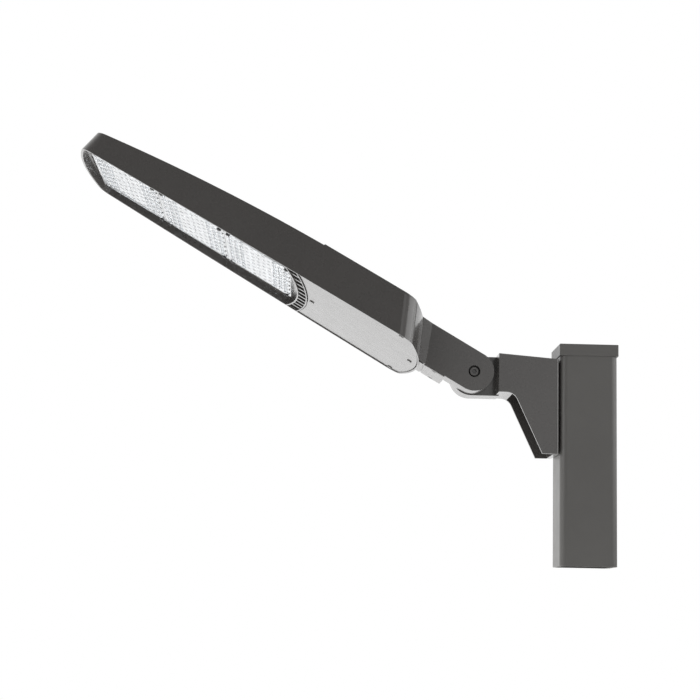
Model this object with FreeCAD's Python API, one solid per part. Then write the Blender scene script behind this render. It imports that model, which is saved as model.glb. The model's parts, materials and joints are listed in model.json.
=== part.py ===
import FreeCAD, Part
import math
import os

# Led area light: head on an adjustable knuckle arm, with a bracket on a square pole section
# Millimetres, origin at the centre of the pole section's lower end, +Z up, head towards -X

# Pole section and its cap
POLE_SIDE = 101.6
POLE_WALL = 4.8
POLE_CORNER_R = 12.5
POLE_LENGTH = 388.5
CAP_TOP_T = 3.0
CAP_WALL = 1.3
CAP_FIT = 0.2
CAP_H = 20.8
CAP_CORNER_R = 1.5
CAP_EDGE_R = 1.2

# Gasket and bracket on the left face of the pole
GASKET_T = 2.0
GASKET_W = 72.0
GASKET_INSET = 6.0
BRACKET_W = 100.0
BRACKET_BELOW_TOP = 24.8
BRACKET_H = 168.2
BRACKET_REACH = 106.9
BRACKET_RISE = 8.1
BRACKET_NOSE_H = 68.6
BRACKET_FOOT = 29.6
BRACKET_SLOPE_REACH = 79.6
BRACKET_SLOPE_R = 22.0
BRACKET_BACK_R = 5.0
BRACKET_SIDE_T = 5.0
BRACKET_TOP_T = 8.5
BRACKET_FLANGE_T = 9.0
BRACKET_NOSE_WALL = 10.7
BRACKET_NOSE_LIP = 24.2
BRACKET_NOSE_FLOOR = 8.8

# Bolts that hold the bracket, and the cable's way into the pole
FLANGE_BOLT_D = 12.0
FLANGE_HOLE_D = 13.5
FLANGE_BOLT_PITCH = 86.0
FLANGE_CENTRE_H = 83.5
FLANGE_HEAD_AF = 18.0
FLANGE_HEAD_H = 7.5
FLANGE_BOLT_PROUD = 4.0
WASHER_D = 24.0
WASHER_T = 2.5
NUT_PLATE_T = 8.0
NUT_PLATE_W = 50.0
NUT_PLATE_MARGIN = 25.0
WIRE_HOLE_D = 25.0

# Knuckle: the arm's lug on the near side, the bracket's on the far side, a disc between them
HEAD_TILT_DEG = 30.2
PIVOT_REACH = 43.9
PIVOT_DROP = 33.2
KNUCKLE_W = 100.0
ARM_R = 34.8
LUG_R = 36.6
LUG_TOP_V = 33.4
DISC_T = 2.0
DISC_R = 31.0
FACE_GAP = 0.05
PIVOT_BOLT_D = 10.0
PIVOT_FIT = 0.16
PIVOT_HEAD_D = 16.0
PIVOT_HEAD_H = 10.0
PIVOT_HEAD_CHAMFER = 0.8
PIVOT_HEX = 8.0
PIVOT_HEX_DEPTH = 5.5
PIVOT_END_INSET = 1.5
COUNTERBORE_D = 21.0
COUNTERBORE_DEPTH = 14.0
PIVOT_WASHER_D = 20.0
PIVOT_WASHER_T = 2.0
NUT_AF = 16.0
NUT_H = 8.0
NUT_FIT = 0.4
NUT_POCKET_DEPTH = 12.0

# Arm: u is the distance from the pivot towards the tip, v the height across the arm and the head
TAIL_START_U = 40.0
SHOULDER_Y = 30.0
SHOULDER_CUT = 6.4
FOOT_BOTTOM_U = 80.0
FOOT_TOP_U = 107.0
FOOT_RUN = 30.0
FOOT_FLARE = 10.0
CAVITY_START_U = 50.0
CAVITY_L = 26.0
CAVITY_W = 70.0
CAVITY_DEPTH = 52.8
ARM_WIRE_D = 22.0
COVER_START_U = 40.6
COVER_L = 41.2
COVER_W = 97.0
COVER_T = 2.2
COVER_CORNER_R = 3.0
COVER_EDGE_R = 1.6
COVER_GAP = 1.6
COVER_SCREW_Y = 41.5
COVER_SCREW_D = 4.0
COVER_SCREW_L = 12.0
COVER_SCREW_HEAD_D = 8.0
COVER_SCREW_HEAD_H = 1.4
SCREW_FIT = 0.4

# Optical modules, in a row that sets the length of the head
MODULE_COUNT = 3
MODULE_PITCH = 137.2
MODULE_START_GAP = 20.4
MODULE_END_GAP = 24.5
LENS_GAP = 0.8
LENS_W = 248.0
LENS_H = 6.0
LENS_WEB = 2.4
LENS_SKIRT = 2.5
LENS_CORNER_R = 3.0
LENS_PAD = 5.5
BOARD_FIT = 0.3
BOARD_T = 1.6
MODULE_SCREW_INSET_U = 8.6
MODULE_SCREW_INSET_Y = 5.5
MODULE_SCREW_D = 4.0
MODULE_SCREW_BITE = 5.0
MODULE_SCREW_HEAD_D = 8.0
MODULE_SCREW_HEAD_H = 3.2

# Housing: a drafted block with bowed sides and ends, cut to the top line
INNER_RIB_U = 341.5
INNER_RIB_R = 700.0
RIM_V = -38.5
BLOCK_TOP_V = 33.0
END_R = 670.0
END_BOTTOM_U = 90.0
END_DRAFT = 32.8
TIP_R = 620.0
TIP_DRAFT = 14.0
SIDE_BOTTOM = (200.3, 183.0, 153.5)
SIDE_TOP = (197.5, 180.0, 148.0)
END_CORNER_R = 25.0
TIP_CORNER_BOTTOM_R = 24.0
TIP_CORNER_TOP_R = 18.0
WALL = 4.5
TOP_LEVEL_V = 28.6
TOP_ARC_START_U = 290.0
TOP_ARC_R = 4270.0
TOP_EDGE_R = 2.0
HUMP_H = 2.0
HUMP_INSET = 3.0
HUMP_END_U = 331.0
HEAD_SPAN = 230.0
HEAD_REACH = 900.0

# Optical recess, vent band and heat sink
FLOOR_DEPTH = 14.5
FLOOR_T = 5.5
RIB_T = 2.6
BAND_U = 325.5
BAND_R = 850.0
BAND_RECESS = 2.0
OUTER_RIB_T = 2.4
SLOT_PITCH = 33.0
SLOT_W = 25.0
END_SLOTS = 11
SLOT_TOP_V = 0.0
TIP_SLOTS = 7
TIP_SLOT_W = 19.0
TIP_SLOT_GAP = 2.0
TIP_SLOT_L = 10.5
TIP_SLOT_MARGIN = 1.5
SINK_GAP = 1.5
FIN_T = 3.2
FIN_PITCH = 22.0
FIN_COUNT = 15
FIN_DROP = 3.5

# Driver compartment, its door and what fixes the arm
DOOR_T = 4.0
DOOR_LIP_T = 2.6
DOOR_LIP_GAP = 1.2
DOOR_RECESS = 1.6
DOOR_GAP = 1.6
DOOR_GASKET_T = 1.0
DOOR_GASKET_INSET = 0.8
COMPARTMENT_WALL = 5.5
COMPARTMENT_SIDE_T = 9.0
COMPARTMENT_TOP_V = 25.0
DOOR_END_SCREW_U = 108.5
DOOR_BAND_SCREW_INSET = 8.0
DOOR_SIDE_SCREW_U = 138.0
DOOR_SIDE_SCREW_Y = 184.0
DOOR_SCREW_D = 5.0
DOOR_SCREW_L = 18.0
DOOR_SCREW_HEAD_D = 9.0
DOOR_SCREW_HEAD_H = 3.0
DOOR_SCREW_PROUD = 1.5
DOOR_SCREW_FIT = 0.8
DOOR_SLOT_W = 1.2
DOOR_POST_D = 12.0
DOOR_POST_H = 16.0
ARM_PAD_U = 138.0
ARM_PAD_W = 104.0
ARM_PAD_BOTTOM_V = -30.0
ARM_BOLT_Y = 36.0
ARM_BOLT_V = (-20.0, 16.0)
ARM_BOLT_D = 8.0
ARM_BOLT_FIT = 0.8
ARM_BOLT_L = 50.0
ARM_BOLT_TIP_GAP = 3.0
ARM_BOLT_AF = 13.0
ARM_BOLT_HEAD_H = 5.3

# Pieces on the compartment's ceiling
DRIVER_GAP = 22.0
DRIVER_L = 140.0
DRIVER_W = 78.0
DRIVER_Y = -79.0
DRIVER_H = 36.0
DRIVER_EDGE_R = 3.0
SURGE_GAP = 34.0
SURGE_L = 60.0
SURGE_W = 36.0
SURGE_Y = 38.0
SURGE_H = 30.0
SURGE_EDGE_R = 4.0
TERMINAL_GAP = 20.0
TERMINAL_L = 44.0
TERMINAL_W = 72.0
TERMINAL_H = 20.0
TERMINAL_POLES = 3
TERMINAL_WELL = 9.0
TERMINAL_WELL_DEPTH = 8.0
TERMINAL_WELL_PITCH = 22.0

# Places that follow from the values above
BACK_X = -(POLE_SIDE / 2 + GASKET_T)
BRACKET_TOP_Z = POLE_LENGTH - BRACKET_BELOW_TOP
BRACKET_BOTTOM_Z = BRACKET_TOP_Z - BRACKET_H
FRONT_X = BACK_X - BRACKET_REACH
FRONT_TOP_Z = BRACKET_TOP_Z + BRACKET_RISE
NOSE_Z = FRONT_TOP_Z - BRACKET_NOSE_H
FLANGE_CENTRE_Z = BRACKET_BOTTOM_Z + FLANGE_CENTRE_H
FLANGE_BOLT_Z = (FLANGE_CENTRE_Z - FLANGE_BOLT_PITCH / 2, FLANGE_CENTRE_Z + FLANGE_BOLT_PITCH / 2)
PIVOT_X = FRONT_X - PIVOT_REACH
PIVOT_Z = FRONT_TOP_Z - PIVOT_DROP
PIVOT_HOLE_D = PIVOT_BOLT_D + PIVOT_FIT
COVER_END_U = COVER_START_U + COVER_L
FLOOR_V = RIM_V + FLOOR_DEPTH
LENS_V = FLOOR_V - LENS_H
MODULE_START_U = INNER_RIB_U + MODULE_START_GAP
MODULE_END_U = MODULE_START_U + MODULE_COUNT * MODULE_PITCH
LENS_L = MODULE_PITCH - LENS_GAP
TIP_BOTTOM_U = MODULE_END_U + MODULE_END_GAP
TIP_TOP_U = TIP_BOTTOM_U - TIP_DRAFT
END_TOP_U = END_BOTTOM_U + END_DRAFT
DOOR_INSET = DOOR_LIP_T + DOOR_LIP_GAP
DOOR_FACE_V = RIM_V + DOOR_RECESS
DOOR_V = DOOR_FACE_V + DOOR_T
ROOM_V = DOOR_V + DOOR_GASKET_T
OUTER_RIB_U = BAND_U - OUTER_RIB_T
DOOR_EDGE_U = OUTER_RIB_U - DOOR_GAP
ROOM_EDGE_U = DOOR_EDGE_U - COMPARTMENT_WALL

V = FreeCAD.Vector


def box(x0, x1, y0, y1, z0, z1):
    return Part.makeBox(x1 - x0, y1 - y0, z1 - z0, V(x0, y0, z0))


def ubox(u0, u1, y0, y1, v0, v1):
    return box(-u1, -u0, y0, y1, v0, v1)


def slab(u0, u1, v0, v1):
    return ubox(u0, u1, -HEAD_SPAN, HEAD_SPAN, v0, v1)


def rod(d, start, axis, length):
    return Part.makeCylinder(d / 2, length, V(*start), V(*axis))


def prism_xz(points, y0, y1):
    corners = [V(x, y0, z) for x, z in points]
    face = Part.Face(Part.makePolygon(corners + corners[:1]))
    return face.extrude(V(0, y1 - y0, 0))


def hexagon(af, start, axis, length):
    r = af / math.sqrt(3)
    turns = [math.radians(a) for a in range(0, 361, 60)]
    flat = [V(r * math.cos(a), r * math.sin(a), 0) for a in turns]
    solid = Part.Face(Part.makePolygon(flat)).extrude(V(0, 0, length))
    turn = FreeCAD.Rotation(V(0, 0, 1), V(*axis))
    solid.Placement = FreeCAD.Placement(V(*start), turn)
    return solid


def upright_edges(solid):
    return [e for e in solid.Edges if abs(e.Vertexes[0].Z - e.Vertexes[-1].Z) > e.Length / 2]


def rounded_block(block, r):
    return block.makeFillet(r, upright_edges(block))


def rounded_square(side, r, z0, z1):
    h = side / 2
    return rounded_block(box(-h, h, -h, h, z0, z1), r)


def on_head(shape):
    # The head is drawn level about the pivot, then tilted and carried to the knuckle
    placed = shape.copy()
    placed.rotate(V(0, 0, 0), V(0, 1, 0), HEAD_TILT_DEG)
    placed.translate(V(PIVOT_X, 0, PIVOT_Z))
    return placed


def at_pivot(shape):
    placed = shape.copy()
    placed.translate(V(PIVOT_X, 0, PIVOT_Z))
    return placed


def save(name, *solids):
    shape = solids[0] if len(solids) == 1 else Part.makeCompound(list(solids))
    shape.exportStep("parts/" + name + ".step")


# Pole section, cap and what holds the bracket

def flange_holes(x0, x1, bolt_d):
    # The two bolt holes and the wire hole, through all that the bracket's bolts clamp
    cuts = [rod(bolt_d, (x0, 0, z), (1, 0, 0), x1 - x0) for z in FLANGE_BOLT_Z]
    cuts.append(rod(WIRE_HOLE_D, (x0, 0, FLANGE_CENTRE_Z), (1, 0, 0), x1 - x0))
    return Part.makeCompound(cuts)


def pole_section():
    t = POLE_WALL
    tube = rounded_square(POLE_SIDE, POLE_CORNER_R, 0, POLE_LENGTH)
    bore = rounded_square(POLE_SIDE - 2 * t, POLE_CORNER_R - t, -t, POLE_LENGTH + t)
    return tube.cut(bore).cut(flange_holes(BACK_X, -POLE_SIDE / 2 + 2 * POLE_WALL, FLANGE_HOLE_D))


def pole_cap():
    top = POLE_LENGTH + CAP_TOP_T
    socket_side = POLE_SIDE + 2 * CAP_FIT
    cap = rounded_square(socket_side + 2 * CAP_WALL, CAP_CORNER_R, top - CAP_H, top)
    rim = [e for e in cap.Edges if min(v.Z for v in e.Vertexes) > top - CAP_EDGE_R]
    cap = cap.makeFillet(CAP_EDGE_R, rim)
    return cap.cut(rounded_square(socket_side, POLE_CORNER_R, top - CAP_H - CAP_TOP_T, POLE_LENGTH))


def bracket_gasket():
    x = -POLE_SIDE / 2
    sheet = box(BACK_X, x, -GASKET_W / 2, GASKET_W / 2, BRACKET_BOTTOM_Z + GASKET_INSET,
                BRACKET_TOP_Z - GASKET_INSET)
    return sheet.cut(flange_holes(BACK_X - GASKET_T, x + GASKET_T, FLANGE_HOLE_D))


def bracket_top(x, drop):
    # Height of the bracket's sloping top at a place along it, less a drop
    return BRACKET_TOP_Z + BRACKET_RISE * (BACK_X - x) / BRACKET_REACH - drop


def bracket_profile():
    return [(FRONT_X, FRONT_TOP_Z), (BACK_X, BRACKET_TOP_Z), (BACK_X, BRACKET_BOTTOM_Z),
            (BACK_X - BRACKET_FOOT, BRACKET_BOTTOM_Z), (BACK_X - BRACKET_SLOPE_REACH, NOSE_Z),
            (FRONT_X, NOSE_Z)]


def bracket_hollow():
    front = FRONT_X + BRACKET_NOSE_WALL
    back = BACK_X - BRACKET_FLANGE_T
    lip = FRONT_X + BRACKET_NOSE_LIP
    floor = NOSE_Z + BRACKET_NOSE_FLOOR
    low = BRACKET_BOTTOM_Z - BRACKET_FLANGE_T
    points = [(front, bracket_top(front, BRACKET_TOP_T)), (back, bracket_top(back, BRACKET_TOP_T)),
              (back, low), (lip, low), (lip, floor), (front, floor)]
    h = BRACKET_W / 2 - BRACKET_SIDE_T
    return prism_xz(points, -h, h)


def bracket_lug():
    y0 = DISC_T / 2
    y1 = BRACKET_W / 2
    lug = rod(2 * LUG_R, (0, y0, 0), (0, 1, 0), y1 - y0)
    neck = box(0, PIVOT_REACH + BRACKET_NOSE_WALL / 2, y0, y1, -LUG_R, LUG_TOP_V)
    lug = lug.fuse(neck)
    lug = lug.cut(rod(PIVOT_HOLE_D, (0, 0, 0), (0, 1, 0), BRACKET_W))
    pocket = hexagon(NUT_AF + NUT_FIT, (0, y1 - NUT_POCKET_DEPTH, 0), (0, 1, 0), 2 * NUT_POCKET_DEPTH)
    return at_pivot(lug.cut(pocket))


def pole_bracket():
    h = BRACKET_W / 2
    body = prism_xz(bracket_profile(), -h, h)
    back = [e for e in upright_edges(body) if max(v.X for v in e.Vertexes) > BACK_X - BRACKET_BACK_R
            and min(v.X for v in e.Vertexes) > BACK_X - BRACKET_BACK_R]
    body = body.makeFillet(BRACKET_BACK_R, back)
    elbow = [e for e in body.Edges if abs(e.CenterOfMass.x - BACK_X + BRACKET_SLOPE_REACH) < FACE_GAP
             and abs(e.CenterOfMass.z - NOSE_Z) < FACE_GAP]
    body = body.makeFillet(BRACKET_SLOPE_R, elbow)
    body = body.cut(bracket_hollow()).fuse(bracket_lug()).removeSplitter()
    return body.cut(flange_holes(BACK_X - 2 * BRACKET_FLANGE_T, BACK_X + GASKET_T, FLANGE_HOLE_D))


def bracket_bolts():
    seat = BACK_X - BRACKET_FLANGE_T - WASHER_T
    end = -POLE_SIDE / 2 + POLE_WALL + NUT_PLATE_T + FLANGE_BOLT_PROUD
    bolts = []
    for z in FLANGE_BOLT_Z:
        head = hexagon(FLANGE_HEAD_AF, (seat, 0, z), (-1, 0, 0), FLANGE_HEAD_H)
        bolts.append(head.fuse(rod(FLANGE_BOLT_D, (seat, 0, z), (1, 0, 0), end - seat)).removeSplitter())
    return bolts


def bracket_washers():
    seat = BACK_X - BRACKET_FLANGE_T
    washers = []
    for z in FLANGE_BOLT_Z:
        hole = rod(FLANGE_HOLE_D, (seat, 0, z), (-1, 0, 0), WASHER_T)
        washers.append(rod(WASHER_D, (seat, 0, z), (-1, 0, 0), WASHER_T).cut(hole))
    return washers


def bracket_nut_plate():
    x = -POLE_SIDE / 2 + POLE_WALL
    half = NUT_PLATE_W / 2
    plate = box(x, x + NUT_PLATE_T, -half, half, FLANGE_BOLT_Z[0] - NUT_PLATE_MARGIN,
                FLANGE_BOLT_Z[1] + NUT_PLATE_MARGIN)
    return plate.cut(flange_holes(x - POLE_WALL, x + 2 * NUT_PLATE_T, FLANGE_BOLT_D))


# Knuckle

def friction_disc():
    y0 = FACE_GAP - DISC_T / 2
    disc = rod(2 * DISC_R, (0, y0, 0), (0, 1, 0), DISC_T / 2 - y0)
    return at_pivot(disc.cut(rod(PIVOT_HOLE_D, (0, -DISC_T, 0), (0, 1, 0), 2 * DISC_T)))


def washer_seat():
    return COUNTERBORE_DEPTH - KNUCKLE_W / 2 - PIVOT_WASHER_T


def pivot_washer():
    y = washer_seat()
    washer = rod(PIVOT_WASHER_D, (0, y, 0), (0, 1, 0), PIVOT_WASHER_T - FACE_GAP)
    return at_pivot(washer.cut(rod(PIVOT_HOLE_D, (0, y, 0), (0, 1, 0), PIVOT_WASHER_T)))


def pivot_bolt():
    seat = washer_seat()
    face = seat - PIVOT_HEAD_H
    head = rod(PIVOT_HEAD_D, (0, face, 0), (0, 1, 0), PIVOT_HEAD_H)
    crown = [e for e in head.Edges if e.BoundBox.YMax < face + PIVOT_HEAD_CHAMFER]
    head = head.makeChamfer(PIVOT_HEAD_CHAMFER, crown)
    end = KNUCKLE_W / 2 - PIVOT_END_INSET
    bolt = head.fuse(rod(PIVOT_BOLT_D, (0, seat, 0), (0, 1, 0), end - seat))
    return at_pivot(bolt.cut(hexagon(PIVOT_HEX, (0, face, 0), (0, 1, 0), PIVOT_HEX_DEPTH)).removeSplitter())


def pivot_nut():
    y = KNUCKLE_W / 2 - NUT_POCKET_DEPTH
    nut = hexagon(NUT_AF, (0, y, 0), (0, 1, 0), NUT_H)
    return at_pivot(nut.cut(rod(PIVOT_BOLT_D, (0, y, 0), (0, 1, 0), NUT_H)))


def arm_section(bottom_u, top_u, half):
    ring = [V(-bottom_u, -half, -ARM_R), V(-bottom_u, half, -ARM_R),
            V(-top_u, half, ARM_R), V(-top_u, -half, ARM_R)]
    return Part.makePolygon(ring + ring[:1])


def arm_foot():
    # The arm widens towards its seat on the housing's sloping end wall
    half = KNUCKLE_W / 2
    near = arm_section(FOOT_BOTTOM_U, FOOT_TOP_U, half)
    far = arm_section(FOOT_BOTTOM_U + FOOT_RUN, FOOT_TOP_U + FOOT_RUN, half + FOOT_FLARE)
    foot = Part.makeLoft([near, far], True, True)
    sole = ubox(COVER_END_U + COVER_GAP, FOOT_BOTTOM_U + FOOT_RUN, -half, half, -ARM_R - COVER_T, 0)
    return foot.fuse(sole)


def arm_body():
    h = KNUCKLE_W / 2
    near_y = -DISC_T / 2
    lug = rod(2 * ARM_R, (0, -h, 0), (0, 1, 0), h + near_y)
    bar = ubox(0, CAVITY_START_U, -h, near_y, -ARM_R, ARM_R)
    tail = prism_xz([(-TAIL_START_U, -ARM_R), (-TAIL_START_U, ARM_R), (-FOOT_TOP_U, ARM_R),
                     (-FOOT_BOTTOM_U, -ARM_R)], -h, h)
    x = -TAIL_START_U
    inner = V(x, SHOULDER_Y, -ARM_R)
    corner = Part.makePolygon([inner, V(x - SHOULDER_CUT, h, -ARM_R), V(x, h, -ARM_R), inner])
    tail = tail.cut(Part.Face(corner).extrude(V(0, 0, 2 * ARM_R)))
    return lug.fuse(bar).fuse(tail).fuse(arm_foot()).removeSplitter()


def arm_bolt_spots():
    return [(y, v) for y in (-ARM_BOLT_Y, ARM_BOLT_Y) for v in ARM_BOLT_V]


def knuckle_arm(housing_outer):
    body = arm_body().cut(housing_outer)
    half = KNUCKLE_W / 2
    w = CAVITY_W / 2
    cuts = [rod(COUNTERBORE_D, (0, -half, 0), (0, 1, 0), COUNTERBORE_DEPTH),
            rod(PIVOT_HOLE_D, (0, -half, 0), (0, 1, 0), half),
            ubox(CAVITY_START_U, CAVITY_START_U + CAVITY_L, -w, w, -ARM_R, CAVITY_DEPTH - ARM_R),
            rod(ARM_WIRE_D, (-CAVITY_START_U, 0, 0), (-1, 0, 0), END_TOP_U)]
    tip_u = ARM_PAD_U - ARM_BOLT_L - ARM_BOLT_TIP_GAP
    cuts += [rod(ARM_BOLT_D, (-tip_u, y, v), (-1, 0, 0), ARM_BOLT_L) for y, v in arm_bolt_spots()]
    cuts += [rod(COVER_SCREW_D, (x, y, -ARM_R), (0, 0, 1), COVER_SCREW_L) for x, y in cover_screw_spots()]
    for cut in cuts:
        body = body.cut(cut)
    return on_head(body)


def cover_screw_spots():
    x = -(COVER_START_U + COVER_L / 2)
    return [(x, -COVER_SCREW_Y), (x, COVER_SCREW_Y)]


def arm_cover():
    w = COVER_W / 2
    face = -ARM_R - COVER_T
    plate = rounded_block(ubox(COVER_START_U, COVER_END_U, -w, w, face, -ARM_R), COVER_CORNER_R)
    rim = [e for e in plate.Edges if e.BoundBox.ZMax < face + COVER_EDGE_R]
    plate = plate.makeFillet(COVER_EDGE_R, rim)
    for x, y in cover_screw_spots():
        start = (x, y, face)
        plate = plate.cut(rod(COVER_SCREW_D + SCREW_FIT, start, (0, 0, 1), COVER_T))
        plate = plate.cut(rod(COVER_SCREW_HEAD_D + 2 * SCREW_FIT, start, (0, 0, 1), COVER_SCREW_HEAD_H))
    return on_head(plate)


def arm_cover_screws():
    face = -ARM_R - COVER_T
    screws = []
    for x, y in cover_screw_spots():
        head = rod(COVER_SCREW_HEAD_D, (x, y, face), (0, 0, 1), COVER_SCREW_HEAD_H)
        shank = rod(COVER_SCREW_D, (x, y, face), (0, 0, 1), COVER_T + COVER_SCREW_L)
        screws.append(on_head(head.fuse(shank).removeSplitter()))
    return screws


# Housing shell

def outline(end_u, tip_u, sides, v):
    # Plan of the head at one height: two bowed sides, a bowed end and a bowed tip
    end_y, mid_y, tip_y = sides
    u0 = end_u + end_y * end_y / (2 * END_R)
    u1 = tip_u - tip_y * tip_y / (2 * TIP_R)
    mid_u = (u0 + u1) / 2
    a, b = V(-u0, -end_y, v), V(-u1, -tip_y, v)
    c, d = V(-u1, tip_y, v), V(-u0, end_y, v)
    arcs = [Part.Arc(a, V(-mid_u, -mid_y, v), b), Part.Arc(b, V(-tip_u, 0, v), c),
            Part.Arc(c, V(-mid_u, mid_y, v), d), Part.Arc(d, V(-end_u, 0, v), a)]
    return Part.Wire([arc.toShape() for arc in arcs])


def shell_block(inset):
    # The drafted block of the head with its corners rounded, taken in by the same amount all round
    low = outline(END_BOTTOM_U + inset, TIP_BOTTOM_U - inset, [y - inset for y in SIDE_BOTTOM], RIM_V)
    high = outline(END_TOP_U + inset, TIP_TOP_U - inset, [y - inset for y in SIDE_TOP], BLOCK_TOP_V)
    block = Part.makeLoft([low, high], True, True)
    middle = -(END_BOTTOM_U + TIP_BOTTOM_U) / 2
    end_corners = [e for e in upright_edges(block) if e.CenterOfMass.x > middle]
    block = block.makeFillet(END_CORNER_R - inset, end_corners)
    tip_corners = [e for e in upright_edges(block) if e.CenterOfMass.x < middle]
    return block.makeFillet(TIP_CORNER_BOTTOM_R - inset, TIP_CORNER_TOP_R - inset, tip_corners)


def bow(u, radius):
    # Upright cylinder whose near side crosses the middle line at u and bulges towards the arm
    return Part.makeCylinder(radius, 4 * BLOCK_TOP_V, V(-u - radius, 0, -2 * BLOCK_TOP_V))


def top_v(u, drop):
    r = TOP_ARC_R - drop
    return TOP_LEVEL_V - TOP_ARC_R + math.sqrt(r * r - (u - TOP_ARC_START_U) ** 2)


def below_top_line(drop):
    # All that lies under the top line: level over the driver, then one long arc down to the tip
    y = -HEAD_SPAN
    arc_u = (TOP_ARC_START_U, (TOP_ARC_START_U + HEAD_REACH) / 2, HEAD_REACH)
    a, b, c = [V(-u, y, top_v(u, drop)) for u in arc_u]
    level = V(0, y, a.z)
    low = 2 * RIM_V
    rest = Part.makePolygon([c, V(-HEAD_REACH, y, low), V(0, y, low), level, a])
    wire = Part.Wire([Part.Arc(a, b, c).toShape()] + rest.Edges)
    return Part.Face(wire).extrude(V(0, 2 * HEAD_SPAN, 0))


def on_top_line(edge):
    points = edge.discretize(5)
    level = [p for p in points if -p.x < TOP_ARC_START_U and abs(p.z - TOP_LEVEL_V) < FACE_GAP]
    fall = [p for p in points if -p.x >= TOP_ARC_START_U and abs(p.z - top_v(-p.x, 0)) < FACE_GAP]
    across = abs(points[0].x - points[-1].x) < FACE_GAP and abs(points[0].x + TOP_ARC_START_U) < 1
    return len(level) + len(fall) == len(points) and not across


def slot_row(count, width, u0, u1, v0, v1):
    first = -(count - 1) / 2
    middles = [(first + i) * SLOT_PITCH for i in range(count)]
    return Part.makeCompound([ubox(u0, u1, y - width / 2, y + width / 2, v0, v1) for y in middles])


def fins():
    first = -(FIN_COUNT - 1) / 2
    middles = [(first + i) * FIN_PITCH for i in range(FIN_COUNT)]
    half = FIN_T / 2
    return Part.makeCompound([ubox(MODULE_START_U, MODULE_END_U, y - half, y + half, FLOOR_V, BLOCK_TOP_V)
                              for y in middles])


def module_us():
    return [MODULE_START_U + (i + 0.5) * MODULE_PITCH for i in range(MODULE_COUNT)]


def screw_offsets():
    du = LENS_L / 2 - MODULE_SCREW_INSET_U
    dy = LENS_W / 2 - MODULE_SCREW_INSET_Y
    return [(su * du, sy * dy) for su in (-1, 1) for sy in (-1, 1)]


def module_screw_spots():
    return [(u + du, dy) for u in module_us() for du, dy in screw_offsets()]


def door_screw_spots():
    return [(DOOR_END_SCREW_U, 0), (DOOR_EDGE_U - DOOR_BAND_SCREW_INSET, 0),
            (DOOR_SIDE_SCREW_U, -DOOR_SIDE_SCREW_Y), (DOOR_SIDE_SCREW_U, DOOR_SIDE_SCREW_Y)]


def heat_sink(inner):
    # Open room above the modules, less the upright fins that stand in it
    room = inner.common(bow(BAND_U + SINK_GAP, BAND_R))
    room = room.common(slab(0, HEAD_REACH, FLOOR_V + FLOOR_T, 2 * BLOCK_TOP_V))
    return room.cut(fins().common(below_top_line(FIN_DROP)))


def optical_recess(inner):
    recess = inner.common(bow(INNER_RIB_U + RIB_T, INNER_RIB_R - RIB_T))
    return recess.common(slab(0, HEAD_REACH, 2 * RIM_V, FLOOR_V))


def vent_band(inner):
    # A bowed strip between two ribs, let in a little, with slots that run through to the heat sink
    band = inner.common(bow(BAND_U, BAND_R)).cut(bow(INNER_RIB_U, INNER_RIB_R))
    slots = slot_row(END_SLOTS, SLOT_W, OUTER_RIB_U, MODULE_START_U + MODULE_PITCH, 2 * RIM_V, SLOT_TOP_V)
    recess = band.common(slab(0, HEAD_REACH, 2 * RIM_V, RIM_V + BAND_RECESS))
    return recess.fuse(band.common(slots))


def tip_slots():
    u = MODULE_END_U + TIP_SLOT_GAP
    row = slot_row(TIP_SLOTS, TIP_SLOT_W, u, u + TIP_SLOT_L, 2 * RIM_V, SLOT_TOP_V)
    return row.common(shell_block(WALL + TIP_SLOT_MARGIN))


def driver_room(top_v):
    room = shell_block(COMPARTMENT_SIDE_T).common(slab(0, HEAD_REACH, 2 * RIM_V, top_v))
    return room.cut(bow(ROOM_EDGE_U, BAND_R))


def compartment():
    # Room for the driver, less the pad that the arm's bolts pull on and the posts of the door's screws
    room = driver_room(COMPARTMENT_TOP_V)
    w = ARM_PAD_W / 2
    room = room.cut(ubox(0, ARM_PAD_U, -w, w, ARM_PAD_BOTTOM_V, 2 * BLOCK_TOP_V))
    for u, y in door_screw_spots():
        room = room.cut(rod(DOOR_POST_D, (-u, y, ROOM_V), (0, 0, 1), DOOR_POST_H))
    return room


def door_seat():
    # The door lies a little below the rim, inside a thin lip
    seat = shell_block(DOOR_LIP_T).common(slab(0, HEAD_REACH, 2 * RIM_V, ROOM_V))
    return seat.cut(bow(OUTER_RIB_U, BAND_R))


def housing(outer, inner):
    shell = outer.common(below_top_line(0))
    shell = shell.makeFillet(TOP_EDGE_R, [e for e in shell.Edges if on_top_line(e)])
    hump = shell_block(HUMP_INSET).common(slab(0, HUMP_END_U, 0, TOP_LEVEL_V + HUMP_H))
    shell = shell.fuse(hump)
    shell = shell.cut(heat_sink(inner))
    shell = shell.cut(optical_recess(inner))
    shell = shell.cut(vent_band(inner))
    shell = shell.cut(tip_slots())
    shell = shell.cut(compartment())
    shell = shell.cut(door_seat())
    return on_head(drill_housing(shell.removeSplitter()))


def drill_housing(shell):
    up = (0, 0, 1)
    cuts = [rod(MODULE_SCREW_D, (-u, y, FLOOR_V), up, MODULE_SCREW_BITE) for u, y in module_screw_spots()]
    cuts += [rod(DOOR_SCREW_D, (-u, y, DOOR_FACE_V), up, DOOR_SCREW_L) for u, y in door_screw_spots()]
    cuts += [rod(ARM_BOLT_D + ARM_BOLT_FIT, (0, y, v), (-1, 0, 0), ARM_PAD_U) for y, v in arm_bolt_spots()]
    cuts.append(rod(ARM_WIRE_D, (0, 0, 0), (-1, 0, 0), ARM_PAD_U))
    for cut in cuts:
        shell = shell.cut(cut)
    return shell


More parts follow.
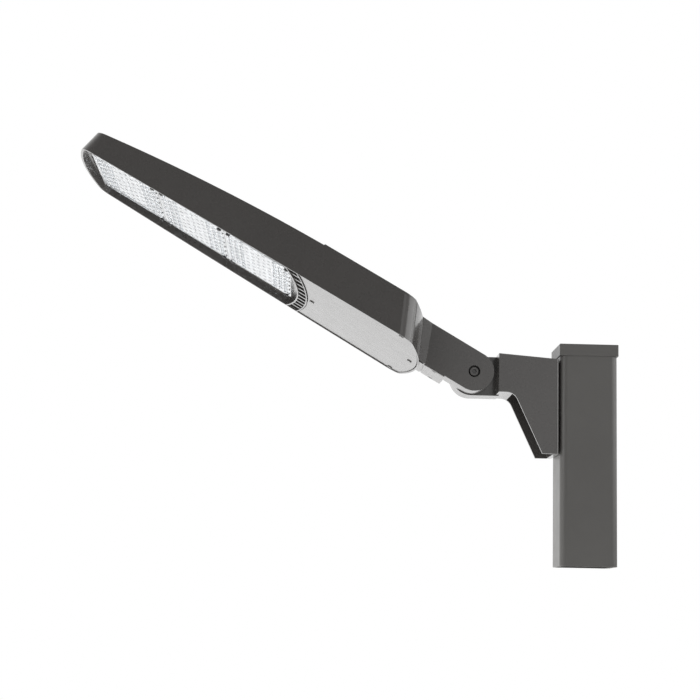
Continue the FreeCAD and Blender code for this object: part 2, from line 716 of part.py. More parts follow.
def arm_bolts():
    bolts = []
    for y, v in arm_bolt_spots():
        head = hexagon(ARM_BOLT_AF, (-ARM_PAD_U, y, v), (-1, 0, 0), ARM_BOLT_HEAD_H)
        shank = rod(ARM_BOLT_D, (-ARM_PAD_U, y, v), (1, 0, 0), ARM_BOLT_L)
        bolts.append(on_head(head.fuse(shank).removeSplitter()))
    return bolts


# Door and its seal

def driver_door():
    plate = shell_block(DOOR_INSET).common(slab(0, HEAD_REACH, DOOR_FACE_V, DOOR_V))
    plate = plate.cut(bow(DOOR_EDGE_U, BAND_R))
    sunk = DOOR_SCREW_HEAD_H - DOOR_SCREW_PROUD
    for u, y in door_screw_spots():
        start = (-u, y, DOOR_FACE_V)
        plate = plate.cut(rod(DOOR_SCREW_D + DOOR_SCREW_FIT, start, (0, 0, 1), DOOR_T))
        plate = plate.cut(rod(DOOR_SCREW_HEAD_D + DOOR_SCREW_FIT, start, (0, 0, 1), sunk))
    return on_head(plate)


def door_gasket():
    band = shell_block(DOOR_INSET + DOOR_GASKET_INSET).common(slab(0, HEAD_REACH, DOOR_V, ROOM_V))
    band = band.cut(bow(DOOR_EDGE_U - DOOR_GASKET_INSET, BAND_R))
    return on_head(band.cut(driver_room(0)))


def door_screws():
    face = DOOR_FACE_V - DOOR_SCREW_PROUD
    neck = face + DOOR_SCREW_HEAD_H / 2
    r = DOOR_SCREW_HEAD_D
    half = DOOR_SLOT_W / 2
    screws = []
    for u, y in door_screw_spots():
        head = rod(DOOR_SCREW_HEAD_D, (-u, y, face), (0, 0, 1), DOOR_SCREW_HEAD_H)
        head = head.cut(ubox(u - r, u + r, y - half, y + half, face, face + DOOR_SLOT_W))
        shank = rod(DOOR_SCREW_D, (-u, y, neck), (0, 0, 1), DOOR_FACE_V + DOOR_SCREW_L - neck)
        screws.append(on_head(head.fuse(shank).removeSplitter()))
    return screws


# Optical modules

def corner_pads(grow):
    # Square corners that carry the screws of one module, about the module's middle
    l, w = LENS_L / 2, LENS_W / 2
    u = l - MODULE_SCREW_INSET_U - LENS_PAD - grow
    y = w - MODULE_SCREW_INSET_Y - LENS_PAD - grow
    pads = []
    for u0, u1 in ((-l, -u), (u, l)):
        for y0, y1 in ((-w, -y), (y, w)):
            pads.append(ubox(u0, u1, y0, y1, LENS_V, FLOOR_V))
    return Part.makeCompound(pads)


def led_board(u):
    edge = LENS_SKIRT + BOARD_FIT
    l, w = LENS_L / 2 - edge, LENS_W / 2 - edge
    board = ubox(-l, l, -w, w, FLOOR_V - BOARD_T, FLOOR_V).cut(corner_pads(BOARD_FIT))
    board.translate(V(-u, 0, 0))
    return on_head(board)


def lens_plate(u):
    l, w, s = LENS_L / 2, LENS_W / 2, LENS_SKIRT
    plate = rounded_block(ubox(-l, l, -w, w, LENS_V, FLOOR_V), LENS_CORNER_R)
    pocket = ubox(s - l, l - s, s - w, w - s, LENS_V + LENS_WEB, FLOOR_V)
    plate = plate.cut(pocket.cut(corner_pads(0)))
    for du, y in screw_offsets():
        plate = plate.cut(rod(MODULE_SCREW_D + SCREW_FIT, (-du, y, LENS_V), (0, 0, 1), LENS_H))
    plate.translate(V(-u, 0, 0))
    return on_head(plate)


def module_screws():
    h = MODULE_SCREW_HEAD_H
    screws = []
    for u, y in module_screw_spots():
        head = rod(MODULE_SCREW_HEAD_D, (-u, y, LENS_V - h), (0, 0, 1), h)
        shank = rod(MODULE_SCREW_D, (-u, y, LENS_V), (0, 0, 1), LENS_H + MODULE_SCREW_BITE)
        screws.append(on_head(head.fuse(shank).removeSplitter()))
    return screws


# Pieces on the compartment's ceiling

def ceiling_block(u, length, y, width, height):
    return ubox(u, u + length, y - width / 2, y + width / 2, COMPARTMENT_TOP_V - height, COMPARTMENT_TOP_V)


def led_driver():
    case = ceiling_block(ARM_PAD_U + DRIVER_GAP, DRIVER_L, DRIVER_Y, DRIVER_W, DRIVER_H)
    long_edges = [e for e in case.Edges if abs(e.Vertexes[0].X - e.Vertexes[-1].X) > DRIVER_L / 2]
    return on_head(case.makeFillet(DRIVER_EDGE_R, long_edges))


def surge_protector():
    case = ceiling_block(ARM_PAD_U + SURGE_GAP, SURGE_L, SURGE_Y, SURGE_W, SURGE_H)
    return on_head(rounded_block(case, SURGE_EDGE_R))


def terminal_block():
    u = ARM_PAD_U + SURGE_GAP + SURGE_L + TERMINAL_GAP
    y0 = SURGE_Y + (SURGE_W - TERMINAL_W) / 2 + TERMINAL_GAP / 2
    case = ceiling_block(u, TERMINAL_L, y0, TERMINAL_W, TERMINAL_H)
    step = TERMINAL_W / TERMINAL_POLES
    face = COMPARTMENT_TOP_V - TERMINAL_H
    back = face + TERMINAL_WELL_DEPTH
    half = TERMINAL_WELL / 2
    for i in range(TERMINAL_POLES):
        y = y0 + (i + 0.5) * step - TERMINAL_W / 2
        for side in (-0.5, 0.5):
            mid = u + TERMINAL_L / 2 + side * TERMINAL_WELL_PITCH
            case = case.cut(ubox(mid - half, mid + half, y - half, y + half, face, back))
    return on_head(case)


def main():
    os.makedirs("parts", exist_ok=True)
    outer = shell_block(0)
    inner = shell_block(WALL)
    save("pole_section", pole_section())
    save("pole_cap", pole_cap())
    save("bracket_gasket", bracket_gasket())
    save("pole_bracket", pole_bracket())
    save("bracket_bolts", *bracket_bolts())
    save("bracket_washers", *bracket_washers())
    save("bracket_nut_plate", bracket_nut_plate())
    save("friction_disc", friction_disc())
    save("pivot_bolt", pivot_bolt())
    save("pivot_washer", pivot_washer())
    save("pivot_nut", pivot_nut())
    save("knuckle_arm", knuckle_arm(outer))
    save("arm_cover", arm_cover())
    save("arm_cover_screws", *arm_cover_screws())
    save("arm_bolts", *arm_bolts())
    save("housing", housing(outer, inner))
    save("driver_door", driver_door())
    save("door_gasket", door_gasket())
    save("door_screws", *door_screws())
    for i, u in enumerate(module_us()):
        save("led_board_%d" % (i + 1), led_board(u))
        save("lens_plate_%d" % (i + 1), lens_plate(u))
    save("module_screws", *module_screws())
    save("led_driver", led_driver())
    save("surge_protector", surge_protector())
    save("terminal_block", terminal_block())


main()
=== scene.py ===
import json
import math

import bmesh
import bpy
from mathutils import Matrix, Vector


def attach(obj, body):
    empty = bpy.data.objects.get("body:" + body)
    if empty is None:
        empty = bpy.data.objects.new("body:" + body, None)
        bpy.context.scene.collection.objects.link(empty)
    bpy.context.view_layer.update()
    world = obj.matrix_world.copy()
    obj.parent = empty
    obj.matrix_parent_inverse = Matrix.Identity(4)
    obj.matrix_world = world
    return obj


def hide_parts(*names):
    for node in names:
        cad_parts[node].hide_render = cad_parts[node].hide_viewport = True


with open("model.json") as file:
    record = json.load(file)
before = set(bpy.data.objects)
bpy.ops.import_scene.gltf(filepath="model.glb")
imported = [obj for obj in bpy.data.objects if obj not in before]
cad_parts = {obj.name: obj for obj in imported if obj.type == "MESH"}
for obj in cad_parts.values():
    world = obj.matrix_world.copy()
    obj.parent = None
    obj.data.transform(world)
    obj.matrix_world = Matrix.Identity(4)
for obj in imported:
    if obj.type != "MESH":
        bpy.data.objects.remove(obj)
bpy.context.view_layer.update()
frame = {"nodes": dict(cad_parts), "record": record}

# Camera fitted to the pole, its cap and the lines across the head
IMAGE_PX = 700
FOCAL_PX = 1763.25
SENSOR_MM = 36.0
CLIP_START = 0.05
CAMERA_PLACE = (-0.51179, -3.12665, -0.09669)
YAW = math.radians(1.6323)
PITCH = math.radians(8.6378)
ROLL = math.radians(1.1576)

# Floor, and the room that lights the object: a bright cove behind it, dim in front of it
FLOOR_Z = -1.30
FLOOR_HALF = 6.0
COVE_DIRECTION = (-0.72, 0.69, 0.0)
COVE_FADE = (-0.05, 0.69)
ROOM_TO_COVE_GLOW = (0.25, 1.1)
BACKGROUND_GLOW = 1.0

# Soft boxes: name, place, target, width, height, power
LIGHTS = [
    ("right_box", (2.45, -1.18, 1.1), (-0.3, -1.08, 0.5), 3.44, 1.8, 44.0),
    ("back_right_box", (2.45, 1.32, 1.1), (-0.3, 1.32, 0.5), 1.56, 1.8, 10.5),
    ("left_box", (-2.8, -1.7, 1.3), (-0.8, -0.1, 0.6), 2.1, 1.6, 21.0),
    ("near_right_box", (1.27, -2.76, 1.0), (-0.3, -0.2, 0.45), 1.33, 1.8, 2.9),
    ("near_middle_box", (0.35, -3.1, 0.8), (-0.1, 0.0, 0.3), 0.7, 1.8, 2.8),
    ("front_box", (-0.6, -3.0, -0.7), (-0.5, 0.0, 0.5), 2.4, 0.9, 9.0),
    ("under_box", (-0.7, 0.2, -0.9), (-0.6, 0.0, 0.5), 1.2, 1.2, 20.0),
]

# Head frame: u from the pivot towards the tip, y across, v up
PIVOT = Vector((-0.2036, 0.0, 0.3386))
HEAD_TILT = math.radians(30.2)
HEAD = Matrix.Translation(PIVOT) @ Matrix.Rotation(HEAD_TILT, 4, "Y")

# Optic plates and led boards
MODULE_COUNT = 3
MODULE_START_U = 0.3619
MODULE_PITCH = 0.1372
LENS_L = 0.1364
LENS_W = 0.248
LENS_FACE_V = -0.030
BOARD_FACE_V = -0.0256
HAIR_GAP = 0.00005
RELIEF_V = LENS_FACE_V - HAIR_GAP

# Domes, their collars and the leds under them
OPTIC_MARGIN = 0.0055
DOME_COLUMNS = 11
DOME_ROWS = 8
DOME_R = 0.0037
DOME_H = 0.0028
LOW_DOME_H = 0.0005
LOW_ZONE = 0.027
DOME_SEGMENTS = 16
DOME_RINGS = 4
COLLAR_R = 0.0050
COLLAR_W = 0.0006
COLLAR_H = 0.0005
CHIP_SIDE = 0.0026
CHIP_H = 0.0007

# Ribs and pins of the plates
RIB_W = 0.0009
RIB_H = 0.0006
PIN_COUNT = 6
PIN_PITCH = 0.038
PIN_INSET = 0.0032
PIN_R = 0.0016
PIN_H = 0.0011
PIN_CHAMFER_SHARE = 0.4
PIN_SEGMENTS = 12

# Screws of the modules
SCREW_INSET_U = 0.0086
SCREW_INSET_Y = 0.0055
SCREW_HEAD_R = 0.004
SCREW_HEAD_H = 0.0032
SCREW_CHAMFER = 0.0005
SCREW_SHANK_R = 0.002
SCREW_SHANK_L = 0.011
SCREW_SEGMENTS = 24
SOCKET_R = 0.0023
SOCKET_DEPTH = 0.0019
SOCKET_RIM_R = 1.12 * SOCKET_R
HEXAGON = 6

# Points nearer to each other than this are one, and a face leaning less than this is upright
MERGE_GAP = 0.000001
UPRIGHT = 0.01


# Camera, world, lights and floor

def put_camera():
    forward = Vector((math.sin(YAW) * math.cos(PITCH), math.cos(YAW) * math.cos(PITCH), math.sin(PITCH)))
    side = Vector((math.cos(YAW), -math.sin(YAW), 0.0))
    up = side.cross(forward)
    right = math.cos(ROLL) * side + math.sin(ROLL) * up
    top = math.cos(ROLL) * up - math.sin(ROLL) * side
    turn = Matrix((right, top, -forward)).transposed().to_4x4()
    data = bpy.data.cameras.new("camera")
    data.sensor_width = SENSOR_MM
    data.lens = SENSOR_MM * FOCAL_PX / IMAGE_PX
    data.clip_start = CLIP_START
    camera = bpy.data.objects.new("camera", data)
    camera.matrix_world = Matrix.Translation(CAMERA_PLACE) @ turn
    bpy.context.scene.collection.objects.link(camera)
    bpy.context.scene.camera = camera


def put_world():
    # White straight on and through clear parts; the cove and the dim room only light the object
    world = bpy.data.worlds.new("white_room")
    world.use_nodes = True
    tree = world.node_tree
    place = tree.nodes.new("ShaderNodeTexCoord")
    towards = tree.nodes.new("ShaderNodeVectorMath")
    towards.operation = "DOT_PRODUCT"
    towards.inputs[1].default_value = COVE_DIRECTION
    tree.links.new(place.outputs["Generated"], towards.inputs[0])
    glow = span(tree, towards.outputs["Value"], COVE_FADE, ROOM_TO_COVE_GLOW, "SMOOTHSTEP")
    seen = tree.nodes.new("ShaderNodeLightPath")
    direct = calc(tree, "MAXIMUM", seen.outputs["Is Camera Ray"], seen.outputs["Is Transmission Ray"])
    pick = tree.nodes.new("ShaderNodeMix")
    pick.inputs["B"].default_value = BACKGROUND_GLOW
    tree.links.new(direct, pick.inputs["Factor"])
    tree.links.new(glow, pick.inputs["A"])
    background = tree.nodes["Background"]
    background.inputs["Color"].default_value = (1.0, 1.0, 1.0, 1.0)
    tree.links.new(pick.outputs["Result"], background.inputs["Strength"])
    bpy.context.scene.world = world
    bpy.context.scene.view_settings.view_transform = "Standard"


def put_light(name, place, target, width, height, power):
    data = bpy.data.lights.new(name, "AREA")
    data.shape = "RECTANGLE"
    data.size = width
    data.size_y = height
    data.energy = power
    light = bpy.data.objects.new(name, data)
    direction = Vector(target) - Vector(place)
    light.matrix_world = Matrix.Translation(place) @ direction.to_track_quat("-Z", "Y").to_matrix().to_4x4()
    light.visible_camera = False
    bpy.context.scene.collection.objects.link(light)


def put_floor():
    mesh = bmesh.new()
    bmesh.ops.create_grid(mesh, x_segments=1, y_segments=1, size=FLOOR_HALF)
    bmesh.ops.translate(mesh, verts=mesh.verts, vec=(0.0, 0.0, FLOOR_Z))
    floor = new_object("floor", mesh, floor_material())


# Mesh helpers

def new_object(name, mesh, material):
    data = bpy.data.meshes.new(name)
    mesh.to_mesh(data)
    mesh.free()
    data.materials.append(material)
    made = bpy.data.objects.new(name, data)
    bpy.context.scene.collection.objects.link(made)
    return made


def add_piece(name, mesh, body, material):
    bmesh.ops.recalc_face_normals(mesh, faces=mesh.faces)
    mesh.transform(HEAD)
    piece = new_object(name, mesh, material)
    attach(piece, body)
    return piece


def revolve(mesh, profile, steps, closed=False):
    # Spins a profile of (radius, v) points about the upright axis and gives back the new faces
    before = set(mesh.faces)
    verts = [mesh.verts.new((radius, 0.0, v)) for radius, v in profile]
    edges = [mesh.edges.new(pair) for pair in zip(verts, verts[1:])]
    if closed:
        edges.append(mesh.edges.new((verts[-1], verts[0])))
    bmesh.ops.spin(mesh, geom=verts + edges, cent=(0.0, 0.0, 0.0), axis=(0.0, 0.0, 1.0),
                   angle=2 * math.pi, steps=steps, use_merge=True)
    bmesh.ops.remove_doubles(mesh, verts=mesh.verts, dist=MERGE_GAP)
    mesh.normal_update()
    return [face for face in mesh.faces if face not in before]


def open_rim(mesh, v):
    # Edges on one level that have a face on one side only
    return [edge for edge in mesh.edges
            if edge.is_boundary and all(abs(end.co.z - v) < MERGE_GAP for end in edge.verts)]


def cap(mesh, v):
    bmesh.ops.edgeloop_fill(mesh, edges=open_rim(mesh, v))


def smooth_sides(faces):
    # Upright sides are shaded round, level and sloping faces flat
    for face in faces:
        face.smooth = abs(face.normal.z) < UPRIGHT


def block(mesh, centre, size):
    # Centre in the head frame as (u, y, v), and size along the same three
    u, y, v = centre
    place = Matrix.Translation((-u, y, v))
    bmesh.ops.create_cube(mesh, size=1.0, matrix=place @ Matrix.Diagonal((*size, 1.0)))


def stamp(mesh, pattern, spots, level):
    # Copies a pattern made at the origin to each (u, y) spot, on one level of the head frame
    data = bpy.data.meshes.new("pattern")
    for u, y in spots:
        copy = pattern.copy()
        bmesh.ops.translate(copy, verts=copy.verts, vec=(-u, y, level))
        copy.to_mesh(data)
        copy.free()
        mesh.from_mesh(data)
    pattern.free()
    bpy.data.meshes.remove(data)


# Shader helpers

def new_material(name):
    material = bpy.data.materials.new(name)
    material.use_nodes = True
    tree = material.node_tree
    return material, tree, tree.nodes["Principled BSDF"]


def new_group(name, inputs, outputs):
    # Inputs are (label, value) pairs, where a value of None makes a vector socket
    group = bpy.data.node_groups.new(name, "ShaderNodeTree")
    for label, value in inputs:
        kind = "NodeSocketVector" if value is None else "NodeSocketFloat"
        socket = group.interface.new_socket(label, in_out="INPUT", socket_type=kind)
        if value is not None:
            socket.default_value = value
    for label in outputs:
        group.interface.new_socket(label, in_out="OUTPUT", socket_type="NodeSocketFloat")
    return group, group.nodes.new("NodeGroupInput"), group.nodes.new("NodeGroupOutput")


def use_group(tree, group, place, **values):
    node = tree.nodes.new("ShaderNodeGroup")
    node.node_tree = group
    tree.links.new(place, node.inputs["Vector"])
    for label, value in values.items():
        node.inputs[label].default_value = value
    return node


def place_output(tree):
    return tree.nodes.new("ShaderNodeTexCoord").outputs["Object"]


def noise(tree, vector, scale, detail=2.0, roughness=0.5):
    node = tree.nodes.new("ShaderNodeTexNoise")
    node.inputs["Scale"].default_value = scale
    node.inputs["Detail"].default_value = detail
    node.inputs["Roughness"].default_value = roughness
    tree.links.new(vector, node.inputs["Vector"])
    return node.outputs["Fac"]


def calc(tree, operation, a, b, clamp=False):
    node = tree.nodes.new("ShaderNodeMath")
    node.operation = operation
    node.use_clamp = clamp
    for socket, value in zip(node.inputs, (a, b)):
        if isinstance(value, (int, float)):
            socket.default_value = value
        else:
            tree.links.new(value, socket)
    return node.outputs["Value"]


def span(tree, value, source, target, easing="LINEAR"):
    # Carries the source range of a value over to the target range
    node = tree.nodes.new("ShaderNodeMapRange")
    node.interpolation_type = easing
    for label, limit in zip(("From Min", "From Max", "To Min", "To Max"), source + target):
        node.inputs[label].default_value = limit
    tree.links.new(value, node.inputs["Value"])
    return node.outputs["Result"]


def tint(tree, factor, a, b):
    node = tree.nodes.new("ShaderNodeMix")
    node.data_type = "RGBA"
    tree.links.new(factor, node.inputs["Factor"])
    for label, value in (("A", a), ("B", b)):
        socket = next(s for s in node.inputs if s.name == label and s.type == "RGBA")
        if isinstance(value, tuple):
            socket.default_value = value + (1.0,)
        else:
            tree.links.new(value, socket)
    return next(s for s in node.outputs if s.type == "RGBA")


def bump(tree, height, strength, distance, base=None):
    node = tree.nodes.new("ShaderNodeBump")
    node.inputs["Strength"].default_value = strength
    node.inputs["Distance"].default_value = distance
    tree.links.new(height, node.inputs["Height"])
    if base is not None:
        tree.links.new(base, node.inputs["Normal"])
    return node.outputs["Normal"]


def rounded_normal(tree):
    node = tree.nodes.new("ShaderNodeBevel")
    node.samples = BEVEL_SAMPLES
    return node


def scaled(colour, factor, lift=0.0):
    return tuple(channel * factor + lift for channel in colour)


# Numbers that several finishes share: the part of a noise that fills a range, full range, bevel samples
NOISE_MIDDLE = (0.3, 0.7)
FULL = (0.0, 1.0)
BEVEL_SAMPLES = 4

# Powder coat
PEEL_SCALE = 620.0
GRIT_SCALE = 3400.0
GRIT_SHARE = 0.35
SKIN_ROUNDING = 0.0008
SKIN_DEPTH = 0.00006
TONE_SPREAD = 0.14
EDGE_REACH = 0.0012
EDGE_DOT = (0.995, 0.90)
DUST_FACING = (0.45, 0.95)
DUST_AMOUNT = 0.16
DUST_COLOUR = (0.30, 0.28, 0.25)
DUST_ROUGHNESS = 0.5
COAT_ROUGHNESS = 0.11
COAT_IOR = 1.5
OPTIC_IOR = 1.49


# Shared effects

def grain_group():
    # Powder coat skin: fine orange peel, finer grit, broad tone and patches of gloss
    group, given, out = new_group("powder_grain", [("Vector", None)], ["Height", "Tone", "Gloss"])
    place = given.outputs["Vector"]
    peel = noise(group, place, PEEL_SCALE, detail=1.0)
    grit = noise(group, place, GRIT_SCALE)
    height = calc(group, "ADD", peel, calc(group, "MULTIPLY", grit, GRIT_SHARE))
    group.links.new(height, out.inputs["Height"])
    group.links.new(noise(group, place, scale=7.0, detail=4.0, roughness=0.6), out.inputs["Tone"])
    group.links.new(noise(group, place, scale=38.0, detail=3.0, roughness=0.6), out.inputs["Gloss"])
    return group


def edge_group():
    # Where a rounded normal leaves the flat one there is an edge, broken up by noise
    group, given, out = new_group("edge_mask", [("Vector", None), ("Reach", EDGE_REACH)], ["Mask"])
    rounded = rounded_normal(group)
    group.links.new(given.outputs["Reach"], rounded.inputs["Radius"])
    flat = group.nodes.new("ShaderNodeNewGeometry")
    dot = group.nodes.new("ShaderNodeVectorMath")
    dot.operation = "DOT_PRODUCT"
    group.links.new(rounded.outputs["Normal"], dot.inputs[0])
    group.links.new(flat.outputs["Normal"], dot.inputs[1])
    edge = span(group, dot.outputs["Value"], EDGE_DOT, FULL)
    flecks = noise(group, given.outputs["Vector"], scale=160.0, detail=4.0, roughness=0.7)
    broken = span(group, flecks, (0.40, 0.66), FULL)
    group.links.new(calc(group, "MULTIPLY", edge, broken, clamp=True), out.inputs["Mask"])
    return group


def dust_group():
    # Dust lies on what faces up, in soft patches
    group, given, out = new_group("settled_dust", [("Vector", None), ("Amount", DUST_AMOUNT)], ["Mask"])
    flat = group.nodes.new("ShaderNodeNewGeometry")
    parts = group.nodes.new("ShaderNodeSeparateXYZ")
    group.links.new(flat.outputs["Normal"], parts.inputs["Vector"])
    facing_up = span(group, parts.outputs["Z"], DUST_FACING, FULL)
    clouds = noise(group, given.outputs["Vector"], scale=21.0, detail=5.0, roughness=0.65)
    patches = span(group, clouds, (0.35, 0.75), (0.2, 1.0))
    mask = calc(group, "MULTIPLY", facing_up, patches)
    group.links.new(calc(group, "MULTIPLY", mask, given.outputs["Amount"], clamp=True), out.inputs["Mask"])
    return group


GRAIN = grain_group()
EDGE = edge_group()
DUST = dust_group()


# Materials

def lighten_edges(tree, base, edge, share, colour):
    # Lays a lighter colour along the edges: worn edges on bare metal and oxide, a painted highlight on the
    # powder coat
    return tint(tree, calc(tree, "MULTIPLY", edge.outputs["Mask"], share), base, colour)


def powder_coat(name, colour, gloss, coat, peel):
    material, tree, shader = new_material(name)
    place = place_output(tree)
    grain = use_group(tree, GRAIN, place)
    edge = use_group(tree, EDGE, place)
    dust = use_group(tree, DUST, place)
    base = tint(tree, grain.outputs["Tone"], scaled(colour, 1 - TONE_SPREAD), scaled(colour, 1 + TONE_SPREAD))
    # Painted highlight: a lighter colour along the edges, broken up by noise, where edges would catch the
    # light
    base = lighten_edges(tree, base, edge, share=0.55, colour=scaled(colour, 2.1, lift=0.02))
    base = tint(tree, dust.outputs["Mask"], base, DUST_COLOUR)
    tree.links.new(base, shader.inputs["Base Color"])
    rough = span(tree, grain.outputs["Gloss"], NOISE_MIDDLE, (gloss - 0.02, gloss + 0.03))
    dusty = calc(tree, "MULTIPLY", dust.outputs["Mask"], DUST_ROUGHNESS)
    tree.links.new(calc(tree, "ADD", rough, dusty, clamp=True), shader.inputs["Roughness"])
    rounded = rounded_normal(tree)
    rounded.inputs["Radius"].default_value = SKIN_ROUNDING
    skin = bump(tree, grain.outputs["Height"], peel, SKIN_DEPTH, rounded.outputs["Normal"])
    tree.links.new(skin, shader.inputs["Normal"])
    shader.inputs["Coat Weight"].default_value = coat
    shader.inputs["Coat Roughness"].default_value = COAT_ROUGHNESS
    shader.inputs["Coat IOR"].default_value = COAT_IOR
    return material


def metal(name, colour, gloss, grain_scale):
    # Bare or plated metal: fine grain, stains and brighter edges
    material, tree, shader = new_material(name)
    place = place_output(tree)
    edge = use_group(tree, EDGE, place, Reach=0.0005)
    lines = noise(tree, place, grain_scale, detail=3.0, roughness=0.6)
    stains = noise(tree, place, scale=90.0, detail=3.0, roughness=0.6)
    base = tint(tree, stains, scaled(colour, 0.8), colour)
    base = lighten_edges(tree, base, edge, share=0.6, colour=(0.72, 0.72, 0.71))
    tree.links.new(base, shader.inputs["Base Color"])
    tree.links.new(span(tree, lines, NOISE_MIDDLE, (gloss - 0.06, gloss + 0.08)), shader.inputs["Roughness"])
    tree.links.new(bump(tree, lines, strength=0.3, distance=0.00004), shader.inputs["Normal"])
    shader.inputs["Metallic"].default_value = 1.0
    return material


def black_oxide():
    material, tree, shader = new_material("black_oxide")
    place = place_output(tree)
    edge = use_group(tree, EDGE, place, Reach=0.0004)
    spots = noise(tree, place, scale=700.0, detail=3.0, roughness=0.6)
    base = tint(tree, spots, (0.010, 0.010, 0.011), (0.022, 0.021, 0.021))
    base = lighten_edges(tree, base, edge, share=0.5, colour=(0.16, 0.15, 0.14))
    tree.links.new(base, shader.inputs["Base Color"])
    tree.links.new(span(tree, spots, NOISE_MIDDLE, (0.30, 0.44)), shader.inputs["Roughness"])
    tree.links.new(bump(tree, spots, strength=0.25, distance=0.00005), shader.inputs["Normal"])
    return material


def moulded(name, colour, gloss, speck, depth):
    # Plastic, rubber and solder resist: fine speckle, slight tone and a moulded texture
    material, tree, shader = new_material(name)
    place = place_output(tree)
    fine = noise(tree, place, speck)
    broad = noise(tree, place, scale=24.0, detail=3.0, roughness=0.6)
    tree.links.new(tint(tree, broad, scaled(colour, 0.93), colour), shader.inputs["Base Color"])
    tree.links.new(span(tree, fine, NOISE_MIDDLE, (gloss - 0.04, gloss + 0.06)), shader.inputs["Roughness"])
    tree.links.new(bump(tree, fine, strength=0.35, distance=depth), shader.inputs["Normal"])
    return material


def clear_optic(name, clearness):
    # Clear moulded optic: slight moulding waves, a frosted skin and a faint cool tint
    material, tree, shader = new_material(name)
    place = place_output(tree)
    waves = noise(tree, place, scale=130.0)
    frost = noise(tree, place, scale=1500.0)
    tree.links.new(tint(tree, waves, (0.90, 0.935, 0.965), (0.99, 0.99, 1.0)), shader.inputs["Base Color"])
    tree.links.new(span(tree, frost, NOISE_MIDDLE, (0.03, 0.11)), shader.inputs["Roughness"])
    tree.links.new(bump(tree, waves, strength=0.2, distance=0.0002), shader.inputs["Normal"])
    shader.inputs["Transmission Weight"].default_value = clearness
    shader.inputs["IOR"].default_value = OPTIC_IOR
    return material


def floor_material():
    material, tree, shader = new_material("pale_floor")
    broad = noise(tree, place_output(tree), scale=0.8, detail=3.0, roughness=0.6)
    tree.links.new(tint(tree, broad, (0.83, 0.83, 0.82), (0.87, 0.87, 0.86)), shader.inputs["Base Color"])
    tree.links.new(span(tree, broad, NOISE_MIDDLE, (0.6, 0.75)), shader.inputs["Roughness"])
    return material


# Optical modules

def module_middles():
    return [MODULE_START_U + (i + 0.5) * MODULE_PITCH for i in range(MODULE_COUNT)]


def screw_spots(middle):
    du = LENS_L / 2 - SCREW_INSET_U
    dy = LENS_W / 2 - SCREW_INSET_Y
    return [(middle + side_u * du, side_y * dy) for side_u in (-1, 1) for side_y in (-1, 1)]


def optic_spots(middle):
    # Rows and columns of optics on one module, less those that the screws need room for
    step_u = (LENS_L - 2 * OPTIC_MARGIN) / DOME_COLUMNS
    step_y = (LENS_W - 2 * OPTIC_MARGIN) / DOME_ROWS
    spots = []
    for i in range(DOME_COLUMNS):
        for j in range(DOME_ROWS - i % 2):
            u = middle + (i + 0.5 - DOME_COLUMNS / 2) * step_u
            y = (j + 0.5 + 0.5 * (i % 2) - DOME_ROWS / 2) * step_y
            near = min(math.hypot(u - su, y - sy) for su, sy in screw_spots(middle))
            if near > COLLAR_R + 2 * SCREW_HEAD_R:
                spots.append((u, y))
    return spots


def dome(height):
    # Round optic standing down from the level of the origin
    pattern = bmesh.new()
    angles = [0.5 * math.pi * k / DOME_RINGS for k in range(DOME_RINGS + 1)]
    profile = [(DOME_R * math.cos(a), -height * math.sin(a)) for a in angles]
    for face in revolve(pattern, profile, DOME_SEGMENTS):
        face.smooth = True
    cap(pattern, 0.0)
    return pattern


def collared_dome():
    # Tall optic with a low raised ring round it
    pattern = dome(DOME_H)
    inner = COLLAR_R - COLLAR_W
    profile = [(inner, 0.0), (inner, -COLLAR_H), (COLLAR_R, -COLLAR_H), (COLLAR_R, 0.0)]
    revolve(pattern, profile, DOME_SEGMENTS, closed=True)
    return pattern


def add_domes(index, middle):
    # Almost flat in the middle of a module, tall towards its two ends
    spots = optic_spots(middle)
    low = [spot for spot in spots if abs(spot[0] - middle) < LOW_ZONE]
    tall = [spot for spot in spots if spot not in low]
    mesh = bmesh.new()
    stamp(mesh, dome(LOW_DOME_H), low, RELIEF_V)
    stamp(mesh, collared_dome(), tall, RELIEF_V)
    add_piece("optic_domes_%d" % index, mesh, "head", DOME_OPTIC)


def add_plate_ribs(index, middle):
    # Raised border and cross rib moulded on the plate round the two groups of optics
    mesh = bmesh.new()
    half_u = LENS_L / 2 - OPTIC_MARGIN + RIB_W
    half_y = LENS_W / 2 - OPTIC_MARGIN + RIB_W
    clear = SCREW_INSET_U + 2 * SCREW_HEAD_R
    along = (2 * (half_u - clear), RIB_W, RIB_H)
    across = (RIB_W, 2 * (half_y - clear), RIB_H)
    v = RELIEF_V - RIB_H / 2
    for side in (-1, 1):
        block(mesh, (middle, side * half_y, v), along)
        block(mesh, (middle + side * half_u, 0.0, v), across)
    block(mesh, (middle, 0.0, v), across)
    add_piece("plate_ribs_%d" % index, mesh, "head", OPTIC)


def add_chips(index, middle):
    mesh = bmesh.new()
    chip = bmesh.new()
    block(chip, (0.0, 0.0, -(CHIP_H + HAIR_GAP) / 2), (CHIP_SIDE, CHIP_SIDE, CHIP_H - HAIR_GAP))
    stamp(mesh, chip, optic_spots(middle), BOARD_FACE_V)
    add_piece("led_chips_%d" % index, mesh, "head", CHIP)


def add_plate_pins(index, middle):
    # Row of small dark pins that hold the plate along its edge towards the arm
    mesh = bmesh.new()
    pin = bmesh.new()
    side = 1 - PIN_CHAMFER_SHARE
    smooth_sides(revolve(pin, [(PIN_R, 0.0), (PIN_R, -side * PIN_H), (side * PIN_R, -PIN_H)], PIN_SEGMENTS))
    cap(pin, 0.0)
    cap(pin, -PIN_H)
    u = middle - LENS_L / 2 + PIN_INSET
    spots = [(u, (i + 0.5 - PIN_COUNT / 2) * PIN_PITCH) for i in range(PIN_COUNT)]
    stamp(mesh, pin, spots, RELIEF_V)
    add_piece("plate_pins_%d" % index, mesh, "head", BLACK_PLASTIC)


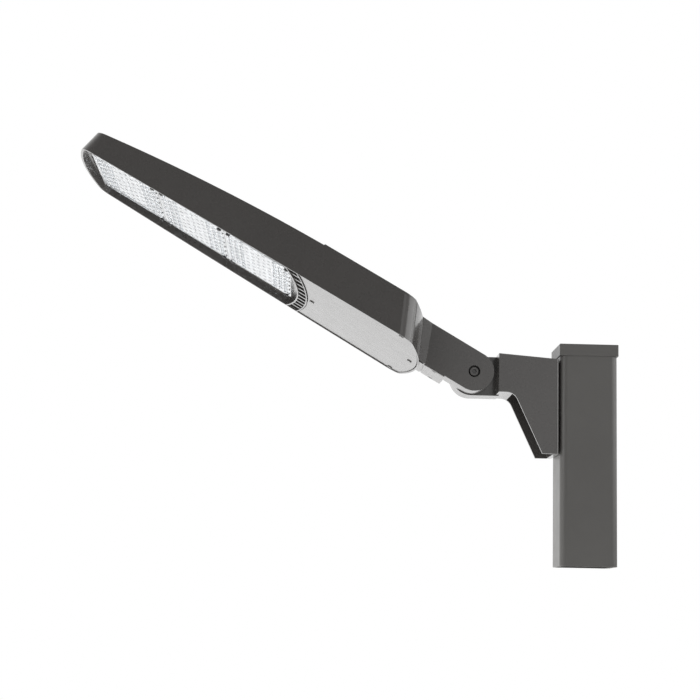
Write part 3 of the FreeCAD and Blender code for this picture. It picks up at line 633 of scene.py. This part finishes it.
def socket_screw():
    # Screw with a chamfered head and a hexagon socket, its head standing down from the level of the origin
    pattern = bmesh.new()
    face = -SCREW_HEAD_H
    floor = face + SOCKET_DEPTH
    profile = [(SOCKET_RIM_R, face), (SCREW_HEAD_R - SCREW_CHAMFER, face),
               (SCREW_HEAD_R, face + SCREW_CHAMFER), (SCREW_HEAD_R, 0.0),
               (SCREW_SHANK_R, 0.0), (SCREW_SHANK_R, SCREW_SHANK_L)]
    smooth_sides(revolve(pattern, profile, SCREW_SEGMENTS))
    cap(pattern, SCREW_SHANK_L)
    revolve(pattern, [(SOCKET_R, face), (SOCKET_R, floor)], HEXAGON)
    cap(pattern, floor)
    bmesh.ops.triangle_fill(pattern, use_beauty=True, edges=open_rim(pattern, face), normal=(0.0, 0.0, -1.0))
    return pattern


def add_module_screws():
    # Socket screws with chamfered heads in place of the plain ones
    mesh = bmesh.new()
    spots = [spot for middle in module_middles() for spot in screw_spots(middle)]
    stamp(mesh, socket_screw(), spots, LENS_FACE_V)
    piece = add_piece("socket_screws", mesh, "head", OXIDE)
    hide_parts("module_screws")


# Finishes of the record's slots, and the nodes that are painted over

POLE_PAINT = powder_coat("pole_powder_coat", (0.096, 0.093, 0.088), gloss=0.34, coat=0.0, peel=0.16)
HEAD_PAINT = powder_coat("casting_powder_coat", (0.056, 0.052, 0.049), gloss=0.27, coat=0.7, peel=0.14)
OXIDE = black_oxide()
BLACK_PLASTIC = moulded("black_plastic", (0.024, 0.024, 0.025), gloss=0.45, speck=1200.0, depth=0.00006)
CHIP = moulded("phosphor", (0.86, 0.81, 0.55), gloss=0.45, speck=3000.0, depth=0.00003)
OPTIC = clear_optic("clear_optic", clearness=0.62)
DOME_OPTIC = clear_optic("clear_dome", clearness=0.90)
FINISH = {
    "bronze_paint": POLE_PAINT,
    "bronze_casting": HEAD_PAINT,
    "black_rubber": moulded("black_gasket", (0.020, 0.020, 0.020), gloss=0.75, speck=900.0, depth=0.0001),
    "grey_rubber": moulded("grey_gasket", (0.20, 0.20, 0.20), gloss=0.65, speck=900.0, depth=0.0001),
    "zinc_steel": metal("zinc_plate", (0.60, 0.60, 0.57), gloss=0.34, grain_scale=900.0),
    "dark_steel": OXIDE,
    "driver_case": metal("extruded_case", (0.66, 0.67, 0.68), gloss=0.36, grain_scale=500.0),
    "black_plastic": BLACK_PLASTIC,
    "white_plastic": moulded("white_plastic", (0.80, 0.80, 0.77), gloss=0.35, speck=1200.0, depth=0.00004),
    "white_board": moulded("solder_resist", (0.90, 0.91, 0.92), gloss=0.30, speck=800.0, depth=0.00003),
    "clear_lens": OPTIC,
}
PAINTED_OVER = {"pole_cap": POLE_PAINT, "door_screws": HEAD_PAINT, "pivot_bolt": HEAD_PAINT}


def finish_nodes():
    slots = {part["node"]: part["material_slot"] for part in frame["record"]["subparts"]}
    for name, node in frame["nodes"].items():
        node.data.materials.clear()
        node.data.materials.append(PAINTED_OVER.get(name, FINISH[slots[name]]))


put_camera()
put_world()
for light in LIGHTS:
    put_light(*light)
put_floor()
finish_nodes()
for number, middle_u in enumerate(module_middles(), 1):
    add_domes(number, middle_u)
    add_plate_ribs(number, middle_u)
    add_chips(number, middle_u)
    add_plate_pins(number, middle_u)
add_module_screws()
